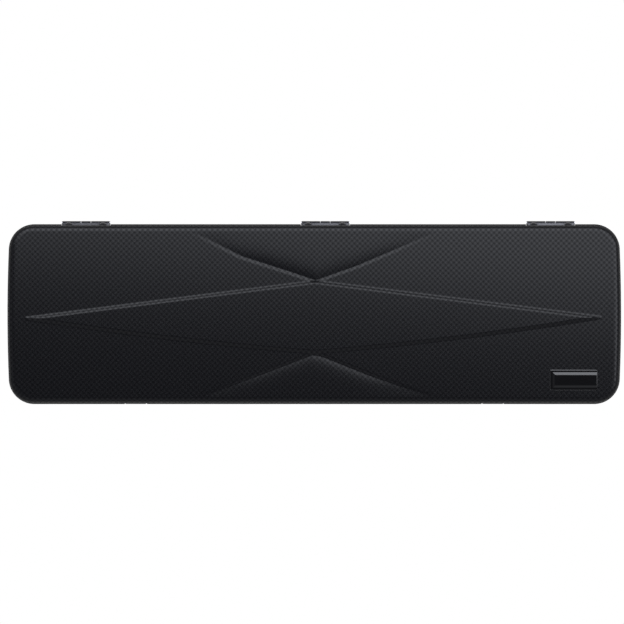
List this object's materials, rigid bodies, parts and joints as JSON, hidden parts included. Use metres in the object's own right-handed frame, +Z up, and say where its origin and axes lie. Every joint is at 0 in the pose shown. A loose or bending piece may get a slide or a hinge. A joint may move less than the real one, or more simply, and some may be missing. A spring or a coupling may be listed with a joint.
{
  "type": "flute case",
  "caption": "Long flat hard-shell flute case, closed: faceted woven-grain black lid, riveted hinges, draw latches, folding handle, padded tray",
  "frame": {"origin": "middle of the case body, on the surface that the feet stand on", "axes": "+X along the case to its badge end, +Y to the hinges at the back, +Z up through the lid"},
  "size_m": [0.43, 0.1282, 0.0677],
  "materials": {
    "shell_black": "satin, fine woven grain",
    "rim_black": "satin",
    "badge_gloss": "high gloss, bare",
    "hinge_black": "satin black",
    "rivet_black": "satin black",
    "latch_black": "satin black",
    "pin_steel": "plain",
    "handle_black": "satin black",
    "grip_rubber": "matt",
    "foot_rubber": "matt",
    "seal_rubber": "matt",
    "tray_foam": "plain foam",
    "tray_plush": "short pile",
    "cushion_cloth": "short pile, stitched channels"
  },
  "bodies": {
    "base": {"base_shell": "shell_black", "base_rim_front": "rim_black", "base_rim_back": "rim_black", "base_rim_left": "rim_black", "base_rim_right": "rim_black", "rim_seal": "seal_rubber", "hinge_base_leaf_left": "hinge_black", "hinge_base_leaf_middle": "hinge_black", "hinge_base_leaf_right": "hinge_black", "hinge_pin_left": "pin_steel", "hinge_pin_middle": "pin_steel", "hinge_pin_right": "pin_steel", "hinge_base_rivets": "rivet_black", "latch_plate_left": "latch_black", "latch_plate_right": "latch_black", "lever_pins_left": "pin_steel", "lever_pins_right": "pin_steel", "latch_plate_rivets": "rivet_black", "handle_bracket_left": "latch_black", "handle_bracket_right": "latch_black", "handle_bracket_screws": "rivet_black", "rubber_feet": "foot_rubber", "tray_core": "tray_foam", "tray_lining": "tray_plush"},
    "lid": {"lid_shell": "shell_black", "lid_rim_front": "rim_black", "lid_rim_back": "rim_black", "lid_rim_left": "rim_black", "lid_rim_right": "rim_black", "badge_plate": "badge_gloss", "hinge_lid_leaf_left": "hinge_black", "hinge_lid_leaf_middle": "hinge_black", "hinge_lid_leaf_right": "hinge_black", "hinge_lid_rivets": "rivet_black", "latch_keeper_left": "latch_black", "latch_keeper_right": "latch_black", "keeper_rivets": "rivet_black", "lid_cushion": "cushion_cloth"},
    "latch_lever_left_body": {"latch_lever_left": "latch_black", "claw_pin_left": "pin_steel"},
    "latch_lever_right_body": {"latch_lever_right": "latch_black", "claw_pin_right": "pin_steel"},
    "latch_claw_left_body": {"latch_claw_left": "latch_black"},
    "latch_claw_right_body": {"latch_claw_right": "latch_black"},
    "handle": {"handle_frame": "handle_black", "handle_grip": "grip_rubber", "handle_pins": "pin_steel"}
  },
  "joints": [
    {"name": "lid_hinge", "type": "hinge", "parent": "base", "child": "lid", "pos_m": [0, 0.06375, 0.0405], "axis": [-1, 0, 0], "range_deg": [0, 105]},
    {"name": "handle_swing", "type": "hinge", "parent": "base", "child": "handle", "pos_m": [0, -0.0574, 0.0284], "axis": [-1, 0, 0], "range_deg": [0, 90]},
    {"name": "latch_lever_left_turn", "type": "hinge", "parent": "base", "child": "latch_lever_left_body", "pos_m": [-0.125, -0.0607, 0.0305], "axis": [-1, 0, 0], "range_deg": [0, 110]},
    {"name": "latch_claw_left_turn", "type": "hinge", "parent": "latch_lever_left_body", "child": "latch_claw_left_body", "pos_m": [-0.125, -0.0604, 0.025], "axis": [-1, 0, 0], "range_deg": [-110, 0]},
    {"name": "latch_lever_right_turn", "type": "hinge", "parent": "base", "child": "latch_lever_right_body", "pos_m": [0.125, -0.0607, 0.0305], "axis": [-1, 0, 0], "range_deg": [0, 110]},
    {"name": "latch_claw_right_turn", "type": "hinge", "parent": "latch_lever_right_body", "child": "latch_claw_right_body", "pos_m": [0.125, -0.0604, 0.025], "axis": [-1, 0, 0], "range_deg": [-110, 0]}
  ],
  "couplings": [
    {"joint": "latch_claw_left_turn", "follows": "latch_lever_left_turn", "ratio": -1},
    {"joint": "latch_claw_right_turn", "follows": "latch_lever_right_turn", "ratio": -1}
  ]
}
